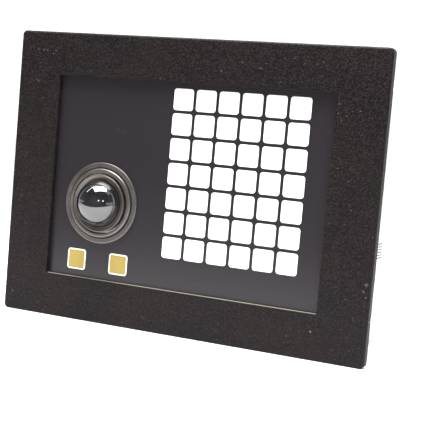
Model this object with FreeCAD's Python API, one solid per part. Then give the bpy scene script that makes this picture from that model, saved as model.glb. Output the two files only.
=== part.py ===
import FreeCAD, Part
import math
import os

# Panel-mount operator keyboard: a bezel with a trackball, two amber keys and a block of flat white keys,
# and a folded steel housing behind it.
# Row frame, millimetres: X to the right, Y away from the user, Z up.
# The origin is the centre of the bezel's rear face, which seats on the front of a mounting panel.

V = FreeCAD.Vector
X_DIR = V(1, 0, 0)
Y_DIR = V(0, 1, 0)
Z_DIR = V(0, 0, 1)

# Key grid
PITCH = 19.05
COLUMNS = 6
ROWS = 7
FIRST_KEY_X = -6.67
FIRST_KEY_Z = 67.4
AMBER_ROW_Z = FIRST_KEY_Z - ROWS * PITCH
AMBER_OFFSET_X = PITCH

# Bezel
BEZEL_W = 310.0
BEZEL_H = 228.0
BEZEL_T = 8.0
BEZEL_CORNER_R = 3.6
BEZEL_FRONT_FILLET = 1.8
BEZEL_REAR_CHAMFER = 0.5
OPENING_W = 232.2
OPENING_H = 160.1
OPENING_CORNER_R = 0.8
OPENING_EDGE_CHAMFER = 0.35
RECESS = 4.4
POCKET_W = 244.0
POCKET_H = 171.0
POCKET_CORNER_R = 3.0

# Layers behind the recess, as Y positions
FACE_Y = -BEZEL_T + RECESS
FILM_T = 0.3
PLATE_T = 1.5
PLATE_FRONT_Y = FACE_Y + FILM_T
PLATE_REAR_Y = PLATE_FRONT_Y + PLATE_T
PLATE_W = POCKET_W - 0.4
PLATE_H = POCKET_H - 0.4
BOARD_Y = 4.6
BOARD_T = 1.6
BOARD_W = 236.0
BOARD_H = 160.0
BOARD_CORNER_R = 2.0
STANDOFF_R = 2.5
STANDOFF_TIP = 0.6
SPIGOT_R = 1.6
SPIGOT_DEPTH = 0.8
STANDOFF_XS = (-112.0, -24.0, 106.0)
STANDOFF_ZS = (-75.0, 0.0, 75.0)
PROCESSOR = (-20.0, 30.0, 9.0, -12.0, -3.0)
KEY_CABLE_HEADER = (-96.0, -44.0, 4.0, 42.0, 56.0)
PLATE_SCREW_INSET = 4.0

# Keys
KEY_SIZE = 16.5
KEY_CORNER_R = 2.3
KEY_GAP = 0.15
WINDOW_SIZE = KEY_SIZE + 2 * KEY_GAP
KEY_FLANGE_SIZE = 17.8
KEY_FLANGE_T = 0.8
KEY_FLANGE_GAP = 0.1
KEY_EDGE_R = 0.12
PLUNGER_R = 1.75
PLUNGER_END_Y = 1.7
SWITCH_SIZE = 6.0
SWITCH_T = 3.4
SWITCH_HOLE_R = 1.9
SWITCH_HOLE_DEPTH = 1.5

# Trackball, with heights measured forward from the face
BALL_R = PITCH
CORE_R = 9.0
CORE_GAP = 0.05
BALL_X = -71.8
BALL_Z = -18.9
BALL_Y = FACE_Y - 1.4
FLANGE_R = 32.2
FLANGE_HEIGHT = 1.6
FLANGE_EDGE_R = 0.6
COLLAR_R = 27.5
COLLAR_BORE_R = 24.2
COLLAR_HEIGHT = 3.4
COLLAR_EDGE_R = 1.4
COLLAR_GROOVE_W = 0.9
COLLAR_GROOVE_DEPTH = 0.7
GROOVE_COUNT = 3
GROOVE_FIRST_R = 29.1
GROOVE_STEP = 0.8
GROOVE_W = 0.3
GROOVE_DEPTH = 0.2
RING_OUTER_R = 22.9
RING_LIP_R = 18.97
RING_BORE_R = 20.0
RING_HEIGHT = 5.2
RING_LIP_HEIGHT = 4.1
RING_LIP_T = 0.3
RING_THROAT_HEIGHT = 2.6
RING_THROAT_R = 19.8
RING_CHAMFER_H = 0.6
RING_EDGE_R = 0.5
PLATE_HOLE_R = 20.5

# Trackball cup and rollers, measured from the ball's centre
CUP_R = 31.0
CUP_BORE_R = 20.5
CUP_FLOOR_Y = 20.0
CUP_FLOOR_T = 2.5
ROLLER_R = 3.5
ROLLER_HALF_LENGTH = 6.0
ROLLER_BALL_GAP = 0.15
SHAFT_R = 1.5
SHAFT_GAP = 0.05
SHAFT_NEAR_END = 13.0
SHAFT_FAR_END = 35.0
SHAFT_CLEARANCE_R = 2.3
DISC_R = 10.0
DISC_T = 1.0
DISC_AT = 33.0
DISC_SLOTS = 18
DISC_SLOT_INNER_R = 6.2
DISC_SLOT_OUTER_R = 8.8
DISC_SLOT_W = 0.9
POST_NEAR = 8.0
POST_FAR = 12.4
POST_HALF_W = 3.0
CONTACT_ANGLE = math.radians(45)
ROLLER_OFFSET = (BALL_R + ROLLER_BALL_GAP + ROLLER_R) * math.sin(CONTACT_ANGLE)
ROLLER_Y = BALL_Y + (BALL_R + ROLLER_BALL_GAP + ROLLER_R) * math.cos(CONTACT_ANGLE)
CUP_SCREW_R_FROM_BALL = 25.85
CUP_SCREW_START = 15.0
CUP_SCREW_SEAT_Y = 3.0
CUP_SCREW_HOLE_HEIGHT = 2.7
CUP_HEAD_GAP = 0.3
ROLLER_POCKET_GAP = 0.6
ROLLER_END_GAP = 1.0
BORE_END_GAP = 0.5
NUB_R = 2.5
NUB_GAP = 0.2
NUB_LENGTH = 8.0
SENSOR_BOARD_SIZE = 76.0
SENSOR_BOARD_Y = 24.0
SENSOR_BOARD_CORNER_R = 2.0
CUP_BOSS_OFFSET = 19.0
CUP_BOSS_R = 3.0
CUP_BOSS_HOLE_DEPTH = 3.5
FORK_INNER = (29.4, 31.7)
FORK_OUTER = (34.3, 36.6)
FORK_HALF_W = 2.5
FORK_BASE_T = 2.0
FORK_REACH = 4.5
SENSOR_HEADER = (20.0, 9.0, -30.0, -21.0)

# Rear housing
HOUSING_W = 272.0
HOUSING_H = 180.0
HOUSING_D = 115.0
SHEET_T = 1.5
HOUSING_BEND_R = 2.5
VENT_PITCH = 2.2
VENT_H = 0.8
VENT_L = 14.0
VENT_CENTRE_Y = 74.0
VENT_COUNT = 6
VENT_LOW_Z = -42.2
LUG_T = 6.0
LUG_W = 16.0
LUG_D = 11.0
LUG_GAP = 0.1
LUG_ZS = (-62.0, 0.0, 62.0)
LUG_SCREW_Y = 6.0

# Interface board on the housing's rear wall
IO_BOARD_W = 170.0
IO_BOARD_H = 110.0
IO_BOARD_Y = 101.0
IO_STANDOFF_R = 3.0
IO_STANDOFF_INSET = 6.0
IO_PROCESSOR = (-30.0, 10.0, 4.0, 8.0, 22.0)
CAPACITOR_R = 6.0
CAPACITOR_LENGTH = 18.0
CAPACITORS = ((40.0, 24.0), (58.0, 24.0))
CONNECTOR_Z = -28.0
CONNECTORS = ((-40.0, 25.0), (24.0, 17.0))
CONNECTOR_H = 8.4
CONNECTOR_PROUD = 5.8
CONNECTOR_WALL = 0.6
CONNECTOR_SLOPE = math.tan(math.radians(10))
CONNECTOR_CORNER_R = 1.5
CONNECTOR_GAP = 0.3

# Studs and screws
STUD_R = 2.0
STUD_SHANK_R = 2.4
STUD_DEPTH = 5.0
STUD_OUT = 18.0
STUD_END_CHAMFER = 0.5
STUD_X = 148.5
STUD_Z = 105.0
INNER_STUD_X = 50.0
M25_R = 1.25
M25_HEAD_R = 2.3
M25_HEAD_T = 1.5
M3_R = 1.5
M3_CONE_R = 2.9
M3_LENGTH = 6.5
M3_RECESS_R = 1.0
M3_RECESS_DEPTH = 1.0
SCREW_GAP = 0.15
PLATE_SCREW_LENGTH = 4.0
PLATE_SCREW_HOLE = 2.5
BOARD_SCREW_LENGTH = 6.0
CUP_SCREW_LENGTH = 9.1
SENSOR_SCREW_LENGTH = 4.5
IO_SCREW_LENGTH = 5.0
HEAD_RECESS_SHARE = 0.45
HEAD_EDGE_SHARE = 0.4


def key_centres():
    """Name and face centre of every key."""
    keys = {}
    for row in range(ROWS):
        for column in range(COLUMNS):
            name = "key_r%dc%d" % (row + 1, column + 1)
            keys[name] = (FIRST_KEY_X + column * PITCH, FIRST_KEY_Z - row * PITCH)
    keys["amber_key_left"] = (BALL_X - AMBER_OFFSET_X, AMBER_ROW_Z)
    keys["amber_key_right"] = (BALL_X + AMBER_OFFSET_X, AMBER_ROW_Z)
    return keys


def block(x0, x1, y0, y1, z0, z1):
    """Box between two corners."""
    return Part.makeBox(x1 - x0, y1 - y0, z1 - z0, V(x0, y0, z0))


def rod(radius, start, end):
    """Cylinder between two points."""
    axis = end - start
    return Part.makeCylinder(radius, axis.Length, start, axis)


def y_rod(radius, x, z, y0, y1):
    """Cylinder along Y."""
    return rod(radius, V(x, y0, z), V(x, y1, z))


def rounded_plate(width, height, corner_r, y0, y1, x=0.0, z=0.0):
    """Plate in the XZ plane with rounded corners."""
    plate = block(x - width / 2, x + width / 2, y0, y1, z - height / 2, z + height / 2)
    edges = [e for e in plate.Edges if abs(e.tangentAt(e.FirstParameter).y) > 0.99]
    return plate.makeFillet(corner_r, edges)


def edges_at_y(shape, y):
    """Edges that lie wholly in one XZ plane."""
    found = []
    for edge in shape.Edges:
        box = edge.BoundBox
        if abs(box.YMin - y) < 1e-4 and abs(box.YMax - y) < 1e-4:
            found.append(edge)
    return found


def ring_of_profile(points):
    """Turn a closed outline of (radius, y) points round the trackball's axis."""
    corners = [V(BALL_X + r, y, BALL_Z) for r, y in points]
    face = Part.Face(Part.makePolygon(corners + [corners[0]]))
    return face.revolve(V(BALL_X, 0, BALL_Z), Y_DIR, 360)


def height(h):
    """Y position of a height in front of the face."""
    return FACE_Y - h


def plate_screw_points():
    """Centres of the screws that hold the front plate in the bezel's pocket."""
    x_edge = (OPENING_W / 2 + POCKET_W / 2) / 2
    z_edge = (OPENING_H / 2 + POCKET_H / 2) / 2
    z_end = z_edge - PLATE_SCREW_INSET
    points = []
    for side in (-1, 1):
        points += [(side * x_edge, z) for z in (-z_end, -z_edge / 3, z_edge / 3, z_end)]
        points += [(x, side * z_edge) for x in (-x_edge * 0.6, 0.0, x_edge * 0.6)]
    return points


def standoff_points():
    """Centres of the standoffs between the front plate and the key board, clear of the trackball's bay."""
    points = [(x, z) for x in STANDOFF_XS for z in STANDOFF_ZS]
    return [(x, z) for x, z in points if x > BALL_X or abs(z) > SENSOR_BOARD_SIZE / 2]


def cup_screw_points():
    """Centres of the screws that clamp the trackball's cup and flange to the plate."""
    points = []
    for i in range(4):
        angle = math.radians(CUP_SCREW_START + 90 * i)
        x = BALL_X + CUP_SCREW_R_FROM_BALL * math.cos(angle)
        points.append((x, BALL_Z + CUP_SCREW_R_FROM_BALL * math.sin(angle)))
    return points


def stud_points():
    """Centres of the mounting studs."""
    return [(sx * x, sz * STUD_Z) for x in (STUD_X, INNER_STUD_X) for sx in (-1, 1) for sz in (-1, 1)]


def cup_boss_points():
    """Centres of the cup's bosses for the sensor board."""
    offsets = (-CUP_BOSS_OFFSET, CUP_BOSS_OFFSET)
    return [(BALL_X + dx, BALL_Z + dz) for dx in offsets for dz in offsets]


def io_standoff_points():
    """Centres of the interface board's standoffs."""
    dx = IO_BOARD_W / 2 - IO_STANDOFF_INSET
    dz = IO_BOARD_H / 2 - IO_STANDOFF_INSET
    return [(sx * dx, sz * dz) for sx in (-1, 1) for sz in (-1, 1)]


# Bezel, film and plate

def make_bezel_frame():
    frame = rounded_plate(BEZEL_W, BEZEL_H, BEZEL_CORNER_R, -BEZEL_T, 0)
    frame = frame.makeFillet(BEZEL_FRONT_FILLET, edges_at_y(frame, -BEZEL_T))
    frame = frame.makeChamfer(BEZEL_REAR_CHAMFER, edges_at_y(frame, 0))
    opening = rounded_plate(OPENING_W, OPENING_H, OPENING_CORNER_R, -BEZEL_T - 1, 1)
    frame = frame.cut(opening)
    inner = []
    for edge in edges_at_y(frame, -BEZEL_T):
        if edge.BoundBox.XMax < OPENING_W / 2 + 1 and edge.BoundBox.XMin > -OPENING_W / 2 - 1:
            if edge.BoundBox.ZMax < OPENING_H / 2 + 1 and edge.BoundBox.ZMin > -OPENING_H / 2 - 1:
                inner.append(edge)
    frame = frame.makeChamfer(OPENING_EDGE_CHAMFER, inner)
    frame = frame.cut(rounded_plate(POCKET_W, POCKET_H, POCKET_CORNER_R, FACE_Y, 1))
    lug_outer_x = HOUSING_W / 2 - SHEET_T - LUG_GAP
    for side in (-1, 1):
        for z in LUG_ZS:
            x0, x1 = sorted((side * (lug_outer_x - LUG_T), side * lug_outer_x))
            frame = frame.fuse(block(x0, x1, -1, LUG_D, z - LUG_W / 2, z + LUG_W / 2))
    for side in (-1, 1):
        for z in LUG_ZS:
            start = V(side * (lug_outer_x - LUG_T - 1), LUG_SCREW_Y, z)
            frame = frame.cut(rod(M3_R, start, V(side * (lug_outer_x + 1), LUG_SCREW_Y, z)))
    for x, z in stud_points():
        frame = frame.cut(y_rod(STUD_SHANK_R, x, z, -STUD_DEPTH, 1))
    for x, z in plate_screw_points():
        frame = frame.cut(y_rod(M25_R, x, z, FACE_Y - PLATE_SCREW_HOLE, FACE_Y + 1))
    return frame.removeSplitter()


def cut_windows(sheet, y0, y1):
    """Cut every key's window out of a sheet."""
    tools = []
    for x, z in key_centres().values():
        tools.append(rounded_plate(WINDOW_SIZE, WINDOW_SIZE, KEY_CORNER_R + KEY_GAP, y0, y1, x, z))
    return sheet.cut(Part.makeCompound(tools))


def make_overlay_film():
    film = rounded_plate(PLATE_W, PLATE_H, POCKET_CORNER_R, FACE_Y, PLATE_FRONT_Y)
    film = cut_windows(film, FACE_Y - 1, PLATE_FRONT_Y + 1)
    film = film.cut(y_rod(COLLAR_BORE_R, BALL_X, BALL_Z, FACE_Y - 1, PLATE_FRONT_Y + 1))
    for x, z in plate_screw_points() + cup_screw_points():
        film = film.cut(y_rod(M25_R + SCREW_GAP, x, z, FACE_Y - 1, PLATE_FRONT_Y + 1))
    return film


def make_front_plate():
    plate = rounded_plate(PLATE_W, PLATE_H, POCKET_CORNER_R, PLATE_FRONT_Y, PLATE_REAR_Y)
    plate = cut_windows(plate, PLATE_FRONT_Y - 1, PLATE_REAR_Y + 1)
    plate = plate.cut(y_rod(PLATE_HOLE_R, BALL_X, BALL_Z, PLATE_FRONT_Y - 1, PLATE_REAR_Y + 1))
    for x, z in plate_screw_points() + cup_screw_points():
        plate = plate.cut(y_rod(M25_R + SCREW_GAP, x, z, PLATE_FRONT_Y - 1, PLATE_REAR_Y + 1))
    for x, z in standoff_points():
        plate = plate.cut(y_rod(SPIGOT_R, x, z, PLATE_REAR_Y - SPIGOT_DEPTH, PLATE_REAR_Y + 1))
    return plate


# Keys and their board

def make_key(x, z):
    """Flush key cap with a flange behind the plate and a plunger that enters its switch."""
    cap = rounded_plate(KEY_SIZE, KEY_SIZE, KEY_CORNER_R, FACE_Y, PLATE_REAR_Y + KEY_FLANGE_GAP, x, z)
    cap = cap.makeChamfer(KEY_EDGE_R, edges_at_y(cap, FACE_Y))
    flange_y = PLATE_REAR_Y + KEY_FLANGE_GAP
    flange = rounded_plate(KEY_FLANGE_SIZE, KEY_FLANGE_SIZE, KEY_CORNER_R, flange_y,
                           flange_y + KEY_FLANGE_T, x, z)
    plunger = y_rod(PLUNGER_R, x, z, flange_y, PLUNGER_END_Y)
    return cap.fuse([flange, plunger]).removeSplitter()


def plate_standoff(x, z):
    """Tapped standoff whose spigot sits in the front plate's rear face."""
    standoff = y_rod(STANDOFF_R, x, z, PLATE_REAR_Y, BOARD_Y)
    standoff = standoff.fuse(y_rod(SPIGOT_R, x, z, PLATE_REAR_Y - SPIGOT_DEPTH, PLATE_REAR_Y))
    return standoff.cut(y_rod(M25_R, x, z, PLATE_REAR_Y + STANDOFF_TIP, BOARD_Y + 1)).removeSplitter()


def make_key_board():
    """Circuit board with its standoffs, the switch bodies, the processor and the cable header."""
    board = rounded_plate(BOARD_W, BOARD_H, BOARD_CORNER_R, BOARD_Y, BOARD_Y + BOARD_T)
    bay = SENSOR_BOARD_SIZE / 2 + 1
    board = board.cut(block(BALL_X - bay, BALL_X + bay, BOARD_Y - 1, BOARD_Y + BOARD_T + 1,
                            BALL_Z - bay, BALL_Z + bay))
    for x, z in standoff_points():
        board = board.cut(y_rod(M25_R + SCREW_GAP, x, z, BOARD_Y - 1, BOARD_Y + BOARD_T + 1))
    solids = [board] + [plate_standoff(x, z) for x, z in standoff_points()]
    half = SWITCH_SIZE / 2
    for x, z in key_centres().values():
        body = block(x - half, x + half, BOARD_Y - SWITCH_T, BOARD_Y, z - half, z + half)
        hole_end = BOARD_Y - SWITCH_T + SWITCH_HOLE_DEPTH
        solids.append(body.cut(y_rod(SWITCH_HOLE_R, x, z, BOARD_Y - SWITCH_T - 1, hole_end)))
    rear = BOARD_Y + BOARD_T
    for x0, x1, tall, z0, z1 in (PROCESSOR, KEY_CABLE_HEADER):
        solids.append(block(x0, x1, rear, rear + tall, z0, z1))
    return Part.makeCompound(solids)


# Trackball

def make_trackball_flange():
    """Flat flange with fine turned grooves and a raised round-edged collar."""
    foot = height(0)
    top = height(FLANGE_HEIGHT)
    rim = height(COLLAR_HEIGHT)
    flange = ring_of_profile([(COLLAR_BORE_R, foot), (FLANGE_R, foot), (FLANGE_R, top),
                              (COLLAR_R, top), (COLLAR_R, rim), (COLLAR_BORE_R, rim)])
    outer = [e for e in edges_at_y(flange, top) if e.BoundBox.XLength > 2 * COLLAR_R + 1]
    flange = flange.makeFillet(FLANGE_EDGE_R, outer)
    lip = [e for e in edges_at_y(flange, rim) if e.BoundBox.XLength > 2 * COLLAR_R - 1]
    flange = flange.makeFillet(COLLAR_EDGE_R, lip)
    grooves = [(GROOVE_FIRST_R + i * GROOVE_STEP, GROOVE_W, GROOVE_DEPTH) for i in range(GROOVE_COUNT)]
    grooves.append((COLLAR_R, COLLAR_GROOVE_W, COLLAR_GROOVE_DEPTH))
    for r, wide, deep in grooves:
        flange = flange.cut(ring_of_profile([(r, top + deep), (r + wide, top + deep), (r + wide, top - 1),
                                             (r, top - 1)]))
    for x, z in cup_screw_points():
        flange = flange.cut(y_rod(M25_R, x, z, height(CUP_SCREW_HOLE_HEIGHT), foot + 1))
    return flange


def make_retaining_ring():
    """Removable ring that stands on the plate, dished towards the lip that keeps the ball in."""
    foot = PLATE_FRONT_Y
    rim = height(RING_HEIGHT)
    lip = height(RING_LIP_HEIGHT)
    throat = height(RING_THROAT_HEIGHT)
    ring = ring_of_profile([(RING_BORE_R, foot), (RING_OUTER_R, foot), (RING_OUTER_R, rim),
                            (RING_OUTER_R - 2 * RING_EDGE_R, rim), (RING_LIP_R, lip),
                            (RING_LIP_R, lip + RING_LIP_T), (RING_THROAT_R, throat),
                            (RING_BORE_R, throat + RING_CHAMFER_H)])
    outer = [e for e in edges_at_y(ring, rim) if e.BoundBox.XLength > 2 * RING_OUTER_R - 1]
    ring = ring.makeFillet(RING_EDGE_R, outer)
    return ring


def make_ball_shell():
    centre = V(BALL_X, BALL_Y, BALL_Z)
    return Part.makeSphere(BALL_R, centre).cut(Part.makeSphere(CORE_R + CORE_GAP, centre))


def make_ball_core():
    return Part.makeSphere(CORE_R, V(BALL_X, BALL_Y, BALL_Z))


def roller_axis(along):
    """Point on a roller's axis beside the ball's centre, and the direction from near end to far end."""
    if along == "x":
        return V(BALL_X, ROLLER_Y, BALL_Z - ROLLER_OFFSET), X_DIR
    return V(BALL_X - ROLLER_OFFSET, ROLLER_Y, BALL_Z), Z_DIR


def make_encoder_roller(along):
    """Shaft with a drum that the ball turns and a slotted disc that the light fork reads."""
    point, direction = roller_axis(along)
    shaft = rod(SHAFT_R, point - direction * SHAFT_NEAR_END, point + direction * SHAFT_FAR_END)
    drum = rod(ROLLER_R, point - direction * ROLLER_HALF_LENGTH, point + direction * ROLLER_HALF_LENGTH)
    disc_start = point + direction * (DISC_AT - DISC_T / 2)
    disc = rod(DISC_R, disc_start, disc_start + direction * DISC_T)
    across = Z_DIR if along == "x" else X_DIR
    slots = []
    for i in range(DISC_SLOTS):
        start = disc_start - direction + across * DISC_SLOT_INNER_R
        slot = rod(DISC_SLOT_W / 2, start, start + direction * (DISC_T + 2))
        end = slot.copy()
        end.translate(across * (DISC_SLOT_OUTER_R - DISC_SLOT_INNER_R))
        low = start - Y_DIR * (DISC_SLOT_W / 2)
        corner = low + across * (DISC_SLOT_OUTER_R - DISC_SLOT_INNER_R) + Y_DIR * DISC_SLOT_W
        corner = corner + direction * (DISC_T + 2)
        bar = block(min(low.x, corner.x), max(low.x, corner.x), min(low.y, corner.y),
                    max(low.y, corner.y), min(low.z, corner.z), max(low.z, corner.z))
        tool = slot.fuse([end, bar])
        tool.rotate(disc_start, direction, i * 360.0 / DISC_SLOTS)
        slots.append(tool)
    disc = disc.cut(Part.makeCompound(slots))
    return shaft.fuse([drum, disc]).removeSplitter()


def bearing_post(point, direction, side):
    """Post from the cup's floor that carries one end of a roller's shaft."""
    near = point + direction * (side * POST_NEAR)
    far = point + direction * (side * POST_FAR)
    across = V(direction.z, 0, direction.x) * POST_HALF_W
    low = V(min(near.x, far.x) - across.x, 0, min(near.z, far.z) - across.z)
    high = V(max(near.x, far.x) + across.x, 0, max(near.z, far.z) + across.z)
    return block(low.x, high.x, ROLLER_Y - POST_HALF_W, CUP_FLOOR_Y + 0.5, low.z, high.z)


def make_trackball_cup():
    """Round cup behind the plate that carries both rollers and a support nub for the ball."""
    cup = y_rod(CUP_R, BALL_X, BALL_Z, PLATE_REAR_Y, CUP_FLOOR_Y + CUP_FLOOR_T)
    cup = cup.cut(y_rod(CUP_BORE_R, BALL_X, BALL_Z, PLATE_REAR_Y - 1, CUP_FLOOR_Y))
    posts = []
    for along in ("x", "z"):
        point, direction = roller_axis(along)
        posts += [bearing_post(point, direction, side) for side in (-1, 1)]
    nub_axis = V(1, 1, 1).normalize()
    nub_tip = V(BALL_X, BALL_Y, BALL_Z) + nub_axis * (BALL_R + NUB_GAP)
    nub = rod(NUB_R, nub_tip, nub_tip + nub_axis * NUB_LENGTH)
    cup = cup.fuse(posts + [nub.common(y_rod(CUP_R, BALL_X, BALL_Z, PLATE_REAR_Y, CUP_FLOOR_Y + 1))])
    for along in ("x", "z"):
        point, direction = roller_axis(along)
        pocket = direction * (ROLLER_HALF_LENGTH + ROLLER_END_GAP)
        cup = cup.cut(rod(ROLLER_R + ROLLER_POCKET_GAP, point - pocket, point + pocket))
        bore_start = point - direction * (SHAFT_NEAR_END + BORE_END_GAP)
        bore_end = point + direction * (POST_FAR + BORE_END_GAP)
        cup = cup.cut(rod(SHAFT_R + SHAFT_GAP, bore_start, bore_end))
        cup = cup.cut(rod(SHAFT_CLEARANCE_R, bore_end, point + direction * (CUP_R + 1)))
    for x, z in cup_boss_points():
        cup = cup.fuse(y_rod(CUP_BOSS_R, x, z, CUP_FLOOR_Y + CUP_FLOOR_T - 0.5, SENSOR_BOARD_Y))
        cup = cup.cut(y_rod(M25_R, x, z, SENSOR_BOARD_Y - CUP_BOSS_HOLE_DEPTH, SENSOR_BOARD_Y + 1))
    for x, z in cup_screw_points():
        cup = cup.cut(y_rod(M25_R + SCREW_GAP, x, z, PLATE_REAR_Y - 1, CUP_SCREW_SEAT_Y + 1))
        cup = cup.cut(y_rod(M25_HEAD_R + CUP_HEAD_GAP, x, z, CUP_SCREW_SEAT_Y, SENSOR_BOARD_Y))
    return cup.removeSplitter()


def light_fork(along):
    """U-shaped light fork on the sensor board that straddles an encoder disc."""
    point, direction = roller_axis(along)
    across = V(direction.z, 0, direction.x) * FORK_HALF_W
    tip_y = ROLLER_Y + FORK_REACH
    base_y = SENSOR_BOARD_Y - FORK_BASE_T
    base = (FORK_INNER[0], FORK_OUTER[1])
    solids = []
    for (low, high), y0 in ((FORK_INNER, tip_y), (FORK_OUTER, tip_y), (base, base_y)):
        a = point + direction * low
        b = point + direction * high
        solids.append(block(a.x - across.x, b.x + across.x, y0, SENSOR_BOARD_Y, a.z - across.z,
                            b.z + across.z))
    return solids[0].fuse(solids[1:]).removeSplitter()


def make_trackball_board():
    """Sensor board behind the cup, with a light fork for each disc and a cable header."""
    y1 = SENSOR_BOARD_Y + BOARD_T
    board = rounded_plate(SENSOR_BOARD_SIZE, SENSOR_BOARD_SIZE, SENSOR_BOARD_CORNER_R, SENSOR_BOARD_Y, y1,
                          BALL_X, BALL_Z)
    for x, z in cup_boss_points():
        board = board.cut(y_rod(M25_R + SCREW_GAP, x, z, SENSOR_BOARD_Y - 1, y1 + 1))
    wide, tall, z0, z1 = SENSOR_HEADER
    header = block(BALL_X - wide / 2, BALL_X + wide / 2, y1, y1 + tall, BALL_Z + z0, BALL_Z + z1)
    return Part.makeCompound([board, light_fork("x"), light_fork("z"), header])


# Housing and interface board

def countersink(side, z):
    """Cone through the housing's side wall for a flush screw."""
    return Part.makeCone(M3_CONE_R, M3_R, SHEET_T, V(side * HOUSING_W / 2, LUG_SCREW_Y, z), V(-side, 0, 0))


def connector_outline(width, tall, grow):
    """D-shaped outline of a connector shell, in the XZ plane, wider at the top."""
    half_w = width / 2 + grow
    half_h = tall / 2 + grow
    lean = 2 * half_h * CONNECTOR_SLOPE
    return [(-half_w, half_h), (half_w, half_h), (half_w - lean, -half_h), (-half_w + lean, -half_h)]


def connector_prism(x, width, grow, y0, y1):
    """Prism of a connector's outline with rounded corners."""
    corners = [V(x + px, y0, CONNECTOR_Z + pz) for px, pz in connector_outline(width, CONNECTOR_H, grow)]
    prism = Part.Face(Part.makePolygon(corners + [corners[0]])).extrude(V(0, y1 - y0, 0))
    edges = [e for e in prism.Edges if abs(e.tangentAt(e.FirstParameter).y) > 0.99]
    return prism.makeFillet(CONNECTOR_CORNER_R, edges)


def make_rear_housing():
    """Folded box, open at the front, with vent slots, connector cut-outs and board standoffs."""
    inner_y = HOUSING_D - SHEET_T
    outer = rounded_plate(HOUSING_W, HOUSING_H, HOUSING_BEND_R, 0, HOUSING_D)
    outer = outer.makeFillet(HOUSING_BEND_R, edges_at_y(outer, HOUSING_D))
    inner = rounded_plate(HOUSING_W - 2 * SHEET_T, HOUSING_H - 2 * SHEET_T, HOUSING_BEND_R - SHEET_T, -1,
                          inner_y)
    box = outer.cut(inner)
    tools = []
    for i in range(VENT_COUNT):
        z = VENT_LOW_Z + i * VENT_PITCH
        tools.append(block(-HOUSING_W, HOUSING_W, VENT_CENTRE_Y - VENT_L / 2, VENT_CENTRE_Y + VENT_L / 2,
                           z - VENT_H / 2, z + VENT_H / 2))
    for side in (-1, 1):
        tools += [countersink(side, z) for z in LUG_ZS]
    for x, width in CONNECTORS:
        tools.append(connector_prism(x, width, CONNECTOR_GAP, inner_y - 2, HOUSING_D + 1))
    box = box.cut(Part.makeCompound(tools))
    for x, z in io_standoff_points():
        box = box.fuse(y_rod(IO_STANDOFF_R, x, z, IO_BOARD_Y + BOARD_T, inner_y + 0.5))
        box = box.cut(y_rod(M25_R, x, z, IO_BOARD_Y, inner_y - 2))
    return box


def make_interface_board():
    """Board on the housing's rear wall, with two D-shaped connectors, a processor and two capacitors."""
    y1 = IO_BOARD_Y + BOARD_T
    board = rounded_plate(IO_BOARD_W, IO_BOARD_H, BOARD_CORNER_R, IO_BOARD_Y, y1)
    for x, z in io_standoff_points():
        board = board.cut(y_rod(M25_R + SCREW_GAP, x, z, IO_BOARD_Y - 1, y1 + 1))
    solids = [board]
    for x, width in CONNECTORS:
        shell = connector_prism(x, width, 0, y1, HOUSING_D + CONNECTOR_PROUD)
        socket = connector_prism(x, width, -CONNECTOR_WALL, HOUSING_D, HOUSING_D + CONNECTOR_PROUD + 1)
        solids.append(shell.cut(socket))
    x0, x1, tall, z0, z1 = IO_PROCESSOR
    solids.append(block(x0, x1, IO_BOARD_Y - tall, IO_BOARD_Y, z0, z1))
    for x, z in CAPACITORS:
        solids.append(y_rod(CAPACITOR_R, x, z, IO_BOARD_Y - CAPACITOR_LENGTH, IO_BOARD_Y))
    return Part.makeCompound(solids)


# Studs and screws

def make_mounting_studs():
    """Threaded studs, each with a wider shank pressed into the bezel's back."""
    studs = []
    for x, z in stud_points():
        stud = y_rod(STUD_R, x, z, 0, STUD_OUT)
        stud = stud.makeChamfer(STUD_END_CHAMFER, edges_at_y(stud, STUD_OUT))
        studs.append(stud.fuse(y_rod(STUD_SHANK_R, x, z, -STUD_DEPTH, 0)))
    return Part.makeCompound(studs)


def screw(radius, head_r, head_t, seat, direction, length):
    """Pan-head screw: the shank runs from the seat along direction and the head stands behind it."""
    head_top = seat - direction * head_t
    head = rod(head_r, head_top, seat)
    rim = [e for e in head.Edges if e.isClosed() and (e.CenterOfMass - head_top).Length < 1e-3]
    head = head.makeFillet(head_t * HEAD_EDGE_SHARE, rim)
    socket = rod(head_r * HEAD_RECESS_SHARE, head_top - direction, head_top + direction * (head_t / 2))
    return head.cut(socket).fuse(rod(radius, seat, seat + direction * length)).removeSplitter()


def make_machine_screws():
    forward = V(0, -1, 0)
    groups = (
        (plate_screw_points(), PLATE_REAR_Y, forward, PLATE_SCREW_LENGTH),
        (standoff_points(), BOARD_Y + BOARD_T, forward, BOARD_SCREW_LENGTH),
        (cup_screw_points(), CUP_SCREW_SEAT_Y, forward, CUP_SCREW_LENGTH),
        (cup_boss_points(), SENSOR_BOARD_Y + BOARD_T, forward, SENSOR_SCREW_LENGTH),
        (io_standoff_points(), IO_BOARD_Y, Y_DIR, IO_SCREW_LENGTH),
    )
    screws = []
    for points, seat_y, direction, length in groups:
        for x, z in points:
            screws.append(screw(M25_R, M25_HEAD_R, M25_HEAD_T, V(x, seat_y, z), direction, length))
    for side in (-1, 1):
        for z in LUG_ZS:
            seat = V(side * (HOUSING_W / 2 - SHEET_T), LUG_SCREW_Y, z)
            flush = countersink(side, z).fuse(rod(M3_R, seat, seat - V(side * M3_LENGTH, 0, 0)))
            recess = rod(M3_RECESS_R, V(side * (HOUSING_W / 2 + 1), LUG_SCREW_Y, z),
                         V(side * (HOUSING_W / 2 - M3_RECESS_DEPTH), LUG_SCREW_Y, z))
            screws.append(flush.cut(recess).removeSplitter())
    return Part.makeCompound(screws)


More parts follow.
